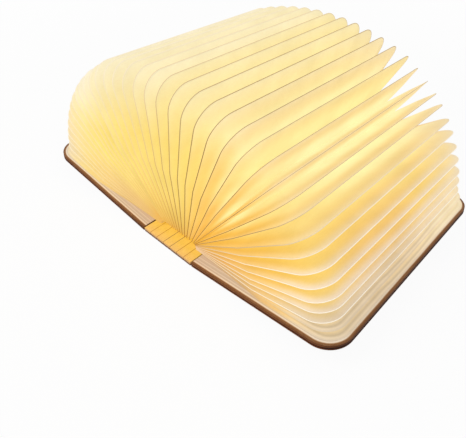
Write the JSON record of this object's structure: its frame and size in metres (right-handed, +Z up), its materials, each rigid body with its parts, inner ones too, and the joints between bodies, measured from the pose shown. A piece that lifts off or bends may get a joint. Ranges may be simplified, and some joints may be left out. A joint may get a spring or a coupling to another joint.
{
  "type": "folding book lamp",
  "caption": "Book-shaped lamp with hinged wooden covers, a slatted wooden spine and a fan of pleated paper pages lit from inside.",
  "frame": {"origin": "middle of the spine's underside, on the surface the open lamp lies on", "axes": "+X across the book to the right cover, +Y along the spine, away from the viewer, +Z up; the middle page stands in the YZ plane"},
  "size_m": [0.3334, 0.215, 0.1486],
  "materials": {
    "veneer": "red-brown wood veneer, satin",
    "board_liner": "pale plywood lined with kraft paper",
    "slat_wood": "dark burnt-edge wood strips",
    "page_paper": "tear-proof white paper, lit from inside",
    "board_green": "circuit board",
    "emitter": "warm white light emitters",
    "diffuser_plastic": "opal diffuser",
    "cell_foil": "battery pouch",
    "black_plastic": "switch body",
    "socket_steel": "socket shell",
    "magnet_nickel": "nickel-plated magnet"
  },
  "bodies": {
    "spine": {"slat_centre": "slat_wood", "light_bar": "board_green", "leds": "emitter", "diffuser": "diffuser_plastic", "page_middle": "page_paper", "pleats_right": "page_paper", "pleats_left": "page_paper"},
    "cover_right_half": {"cover_right": "veneer", "liner_right": "board_liner", "battery": "cell_foil", "control_board": "board_green", "reed_switch": "black_plastic", "charge_socket": "socket_steel", "magnet_right": "magnet_nickel", "end_paper_right": "page_paper"},
    "cover_left_half": {"cover_left": "veneer", "liner_left": "board_liner", "magnet_left": "magnet_nickel", "end_paper_left": "page_paper"},
    "strip_right_1": {"slat_right_1": "slat_wood"},
    "strip_right_2": {"slat_right_2": "slat_wood"},
    "strip_right_3": {"slat_right_3": "slat_wood"},
    "leaf_right_01": {"page_right_01": "page_paper"},
    "leaf_right_02": {"page_right_02": "page_paper"},
    "leaf_right_03": {"page_right_03": "page_paper"},
    "leaf_right_04": {"page_right_04": "page_paper"},
    "leaf_right_05": {"page_right_05": "page_paper"},
    "leaf_right_06": {"page_right_06": "page_paper"},
    "leaf_right_07": {"page_right_07": "page_paper"},
    "leaf_right_08": {"page_right_08": "page_paper"},
    "leaf_right_09": {"page_right_09": "page_paper"},
    "leaf_right_10": {"page_right_10": "page_paper"},
    "leaf_right_11": {"page_right_11": "page_paper"},
    "leaf_right_12": {"page_right_12": "page_paper"},
    "leaf_right_13": {"page_right_13": "page_paper"},
    "leaf_right_14": {"page_right_14": "page_paper"},
    "leaf_right_15": {"page_right_15": "page_paper"},
    "leaf_right_16": {"page_right_16": "page_paper"},
    "leaf_right_17": {"page_right_17": "page_paper"},
    "strip_left_1": {"slat_left_1": "slat_wood"},
    "strip_left_2": {"slat_left_2": "slat_wood"},
    "strip_left_3": {"slat_left_3": "slat_wood"},
    "leaf_left_01": {"page_left_01": "page_paper"},
    "leaf_left_02": {"page_left_02": "page_paper"},
    "leaf_left_03": {"page_left_03": "page_paper"},
    "leaf_left_04": {"page_left_04": "page_paper"},
    "leaf_left_05": {"page_left_05": "page_paper"},
    "leaf_left_06": {"page_left_06": "page_paper"},
    "leaf_left_07": {"page_left_07": "page_paper"},
    "leaf_left_08": {"page_left_08": "page_paper"},
    "leaf_left_09": {"page_left_09": "page_paper"},
    "leaf_left_10": {"page_left_10": "page_paper"},
    "leaf_left_11": {"page_left_11": "page_paper"},
    "leaf_left_12": {"page_left_12": "page_paper"},
    "leaf_left_13": {"page_left_13": "page_paper"},
    "leaf_left_14": {"page_left_14": "page_paper"},
    "leaf_left_15": {"page_left_15": "page_paper"},
    "leaf_left_16": {"page_left_16": "page_paper"},
    "leaf_left_17": {"page_left_17": "page_paper"}
  },
  "joints": [
    {"name": "fold_right", "type": "hinge", "parent": "spine", "child": "cover_right_half", "pos_m": [0.00613, 0, 0.00498], "axis": [0, -1, 0], "range_deg": [-6, 83.3], "deforming": ["pleats_right"]},
    {"name": "strip_right_1_hinge", "type": "hinge", "parent": "spine", "child": "strip_right_1", "pos_m": [0.00417, 0, 0.004], "axis": [0, -1, 0], "range_deg": [-4.33, 60.01]},
    {"name": "strip_right_2_hinge", "type": "hinge", "parent": "spine", "child": "strip_right_2", "pos_m": [0.00612, 0, 0.00513], "axis": [0, -1, 0], "range_deg": [-5.77, 80.01]},
    {"name": "strip_right_3_hinge", "type": "hinge", "parent": "spine", "child": "strip_right_3", "pos_m": [0.0076, 0, 0.00619], "axis": [0, -1, 0], "range_deg": [-6.49, 90.01]},
    {"name": "leaf_right_01_turn", "type": "hinge", "parent": "spine", "child": "leaf_right_01", "pos_m": [0.01, 0, -0.0184], "axis": [0, -1, 0], "range_deg": [-0.33, 4.51]},
    {"name": "leaf_right_02_turn", "type": "hinge", "parent": "spine", "child": "leaf_right_02", "pos_m": [0.01, 0, -0.0184], "axis": [0, -1, 0], "range_deg": [-0.66, 9.01]},
    {"name": "leaf_right_03_turn", "type": "hinge", "parent": "spine", "child": "leaf_right_03", "pos_m": [0.01, 0, -0.0184], "axis": [0, -1, 0], "range_deg": [-0.98, 13.51]},
    {"name": "leaf_right_04_turn", "type": "hinge", "parent": "spine", "child": "leaf_right_04", "pos_m": [0.01, 0, -0.0184], "axis": [0, -1, 0], "range_deg": [-1.31, 18.01]},
    {"name": "leaf_right_05_turn", "type": "hinge", "parent": "spine", "child": "leaf_right_05", "pos_m": [0.01, 0, -0.0184], "axis": [0, -1, 0], "range_deg": [-1.63, 22.51]},
    {"name": "leaf_right_06_turn", "type": "hinge", "parent": "spine", "child": "leaf_right_06", "pos_m": [0.01, 0, -0.0184], "axis": [0, -1, 0], "range_deg": [-1.95, 27.01]},
    {"name": "leaf_right_07_turn", "type": "hinge", "parent": "cover_right_half", "child": "leaf_right_07", "pos_m": [0.01952, 0, 0.007], "axis": [0, -1, 0], "range_deg": [-51.71, 3.73]},
    {"name": "leaf_right_08_turn", "type": "hinge", "parent": "cover_right_half", "child": "leaf_right_08", "pos_m": [0.01952, 0, 0.007], "axis": [0, -1, 0], "range_deg": [-46.21, 3.34]},
    {"name": "leaf_right_09_turn", "type": "hinge", "parent": "cover_right_half", "child": "leaf_right_09", "pos_m": [0.01952, 0, 0.007], "axis": [0, -1, 0], "range_deg": [-41.21, 2.98]},
    {"name": "leaf_right_10_turn", "type": "hinge", "parent": "cover_right_half", "child": "leaf_right_10", "pos_m": [0.01952, 0, 0.007], "axis": [0, -1, 0], "range_deg": [-36.91, 2.67]},
    {"name": "leaf_right_11_turn", "type": "hinge", "parent": "cover_right_half", "child": "leaf_right_11", "pos_m": [0.01952, 0, 0.007], "axis": [0, -1, 0], "range_deg": [-31.31, 2.26]},
    {"name": "leaf_right_12_turn", "type": "hinge", "parent": "cover_right_half", "child": "leaf_right_12", "pos_m": [0.01952, 0, 0.007], "axis": [0, -1, 0], "range_deg": [-26.81, 1.94]},
    {"name": "leaf_right_13_turn", "type": "hinge", "parent": "cover_right_half", "child": "leaf_right_13", "pos_m": [0.01952, 0, 0.007], "axis": [0, -1, 0], "range_deg": [-21.71, 1.57]},
    {"name": "leaf_right_14_turn", "type": "hinge", "parent": "cover_right_half", "child": "leaf_right_14", "pos_m": [0.01952, 0, 0.007], "axis": [0, -1, 0], "range_deg": [-17.01, 1.23]},
    {"name": "leaf_right_15_turn", "type": "hinge", "parent": "cover_right_half", "child": "leaf_right_15", "pos_m": [0.01952, 0, 0.007], "axis": [0, -1, 0], "range_deg": [-12.51, 0.91]},
    {"name": "leaf_right_16_turn", "type": "hinge", "parent": "cover_right_half", "child": "leaf_right_16", "pos_m": [0.01952, 0, 0.007], "axis": [0, -1, 0], "range_deg": [-9.01, 0.66]},
    {"name": "leaf_right_17_turn", "type": "hinge", "parent": "cover_right_half", "child": "leaf_right_17", "pos_m": [0.01952, 0, 0.007], "axis": [0, -1, 0], "range_deg": [-5.31, 0.39]},
    {"name": "fold_left", "type": "hinge", "parent": "spine", "child": "cover_left_half", "pos_m": [-0.00613, 0, 0.00498], "axis": [0, 1, 0], "range_deg": [-6, 83.3], "deforming": ["pleats_left"]},
    {"name": "strip_left_1_hinge", "type": "hinge", "parent": "spine", "child": "strip_left_1", "pos_m": [-0.00417, 0, 0.004], "axis": [0, 1, 0], "range_deg": [-4.33, 60.01]},
    {"name": "strip_left_2_hinge", "type": "hinge", "parent": "spine", "child": "strip_left_2", "pos_m": [-0.00612, 0, 0.00513], "axis": [0, 1, 0], "range_deg": [-5.77, 80.01]},
    {"name": "strip_left_3_hinge", "type": "hinge", "parent": "spine", "child": "strip_left_3", "pos_m": [-0.0076, 0, 0.00619], "axis": [0, 1, 0], "range_deg": [-6.49, 90.01]},
    {"name": "leaf_left_01_turn", "type": "hinge", "parent": "spine", "child": "leaf_left_01", "pos_m": [-0.01, 0, -0.0184], "axis": [0, 1, 0], "range_deg": [-0.33, 4.51]},
    {"name": "leaf_left_02_turn", "type": "hinge", "parent": "spine", "child": "leaf_left_02", "pos_m": [-0.01, 0, -0.0184], "axis": [0, 1, 0], "range_deg": [-0.66, 9.01]},
    {"name": "leaf_left_03_turn", "type": "hinge", "parent": "spine", "child": "leaf_left_03", "pos_m": [-0.01, 0, -0.0184], "axis": [0, 1, 0], "range_deg": [-0.98, 13.51]},
    {"name": "leaf_left_04_turn", "type": "hinge", "parent": "spine", "child": "leaf_left_04", "pos_m": [-0.01, 0, -0.0184], "axis": [0, 1, 0], "range_deg": [-1.31, 18.01]},
    {"name": "leaf_left_05_turn", "type": "hinge", "parent": "spine", "child": "leaf_left_05", "pos_m": [-0.01, 0, -0.0184], "axis": [0, 1, 0], "range_deg": [-1.63, 22.51]},
    {"name": "leaf_left_06_turn", "type": "hinge", "parent": "spine", "child": "leaf_left_06", "pos_m": [-0.01, 0, -0.0184], "axis": [0, 1, 0], "range_deg": [-1.95, 27.01]},
    {"name": "leaf_left_07_turn", "type": "hinge", "parent": "cover_left_half", "child": "leaf_left_07", "pos_m": [-0.01952, 0, 0.007], "axis": [0, 1, 0], "range_deg": [-51.71, 3.73]},
    {"name": "leaf_left_08_turn", "type": "hinge", "parent": "cover_left_half", "child": "leaf_left_08", "pos_m": [-0.01952, 0, 0.007], "axis": [0, 1, 0], "range_deg": [-46.21, 3.34]},
    {"name": "leaf_left_09_turn", "type": "hinge", "parent": "cover_left_half", "child": "leaf_left_09", "pos_m": [-0.01952, 0, 0.007], "axis": [0, 1, 0], "range_deg": [-41.21, 2.98]},
    {"name": "leaf_left_10_turn", "type": "hinge", "parent": "cover_left_half", "child": "leaf_left_10", "pos_m": [-0.01952, 0, 0.007], "axis": [0, 1, 0], "range_deg": [-36.91, 2.67]},
    {"name": "leaf_left_11_turn", "type": "hinge", "parent": "cover_left_half", "child": "leaf_left_11", "pos_m": [-0.01952, 0, 0.007], "axis": [0, 1, 0], "range_deg": [-31.31, 2.26]},
    {"name": "leaf_left_12_turn", "type": "hinge", "parent": "cover_left_half", "child": "leaf_left_12", "pos_m": [-0.01952, 0, 0.007], "axis": [0, 1, 0], "range_deg": [-26.81, 1.94]},
    {"name": "leaf_left_13_turn", "type": "hinge", "parent": "cover_left_half", "child": "leaf_left_13", "pos_m": [-0.01952, 0, 0.007], "axis": [0, 1, 0], "range_deg": [-21.71, 1.57]},
    {"name": "leaf_left_14_turn", "type": "hinge", "parent": "cover_left_half", "child": "leaf_left_14", "pos_m": [-0.01952, 0, 0.007], "axis": [0, 1, 0], "range_deg": [-17.01, 1.23]},
    {"name": "leaf_left_15_turn", "type": "hinge", "parent": "cover_left_half", "child": "leaf_left_15", "pos_m": [-0.01952, 0, 0.007], "axis": [0, 1, 0], "range_deg": [-12.51, 0.91]},
    {"name": "leaf_left_16_turn", "type": "hinge", "parent": "cover_left_half", "child": "leaf_left_16", "pos_m": [-0.01952, 0, 0.007], "axis": [0, 1, 0], "range_deg": [-9.01, 0.66]},
    {"name": "leaf_left_17_turn", "type": "hinge", "parent": "cover_left_half", "child": "leaf_left_17", "pos_m": [-0.01952, 0, 0.007], "axis": [0, 1, 0], "range_deg": [-5.31, 0.39]}
  ],
  "couplings": [
    {"joint": "strip_right_1_hinge", "follows": "fold_right", "ratio": 0.72029},
    {"joint": "strip_right_2_hinge", "follows": "fold_right", "ratio": 0.96038},
    {"joint": "strip_right_3_hinge", "follows": "fold_right", "ratio": 1.0804},
    {"joint": "leaf_right_01_turn", "follows": "fold_right", "ratio": 0.054022},
    {"joint": "leaf_right_02_turn", "follows": "fold_right", "ratio": 0.10804},
    {"joint": "leaf_right_03_turn", "follows": "fold_right", "ratio": 0.16206},
    {"joint": "leaf_right_04_turn", "follows": "fold_right", "ratio": 0.21609},
    {"joint": "leaf_right_05_turn", "follows": "fold_right", "ratio": 0.27011},
    {"joint": "leaf_right_06_turn", "follows": "fold_right", "ratio": 0.32413},
    {"joint": "leaf_right_07_turn", "follows": "fold_right", "ratio": -0.62065},
    {"joint": "leaf_right_08_turn", "follows": "fold_right", "ratio": -0.55462},
    {"joint": "leaf_right_09_turn", "follows": "fold_right", "ratio": -0.4946},
    {"joint": "leaf_right_10_turn", "follows": "fold_right", "ratio": -0.44298},
    {"joint": "leaf_right_11_turn", "follows": "fold_right", "ratio": -0.37575},
    {"joint": "leaf_right_12_turn", "follows": "fold_right", "ratio": -0.32173},
    {"joint": "leaf_right_13_turn", "follows": "fold_right", "ratio": -0.2605},
    {"joint": "leaf_right_14_turn", "follows": "fold_right", "ratio": -0.20408},
    {"joint": "leaf_right_15_turn", "follows": "fold_right", "ratio": -0.15006},
    {"joint": "leaf_right_16_turn", "follows": "fold_right", "ratio": -0.10804},
    {"joint": "leaf_right_17_turn", "follows": "fold_right", "ratio": -0.063625},
    {"joint": "strip_left_1_hinge", "follows": "fold_left", "ratio": 0.72029},
    {"joint": "strip_left_2_hinge", "follows": "fold_left", "ratio": 0.96038},
    {"joint": "strip_left_3_hinge", "follows": "fold_left", "ratio": 1.0804},
    {"joint": "leaf_left_01_turn", "follows": "fold_left", "ratio": 0.054022},
    {"joint": "leaf_left_02_turn", "follows": "fold_left", "ratio": 0.10804},
    {"joint": "leaf_left_03_turn", "follows": "fold_left", "ratio": 0.16206},
    {"joint": "leaf_left_04_turn", "follows": "fold_left", "ratio": 0.21609},
    {"joint": "leaf_left_05_turn", "follows": "fold_left", "ratio": 0.27011},
    {"joint": "leaf_left_06_turn", "follows": "fold_left", "ratio": 0.32413},
    {"joint": "leaf_left_07_turn", "follows": "fold_left", "ratio": -0.62065},
    {"joint": "leaf_left_08_turn", "follows": "fold_left", "ratio": -0.55462},
    {"joint": "leaf_left_09_turn", "follows": "fold_left", "ratio": -0.4946},
    {"joint": "leaf_left_10_turn", "follows": "fold_left", "ratio": -0.44298},
    {"joint": "leaf_left_11_turn", "follows": "fold_left", "ratio": -0.37575},
    {"joint": "leaf_left_12_turn", "follows": "fold_left", "ratio": -0.32173},
    {"joint": "leaf_left_13_turn", "follows": "fold_left", "ratio": -0.2605},
    {"joint": "leaf_left_14_turn", "follows": "fold_left", "ratio": -0.20408},
    {"joint": "leaf_left_15_turn", "follows": "fold_left", "ratio": -0.15006},
    {"joint": "leaf_left_16_turn", "follows": "fold_left", "ratio": -0.10804},
    {"joint": "leaf_left_17_turn", "follows": "fold_left", "ratio": -0.063625}
  ]
}
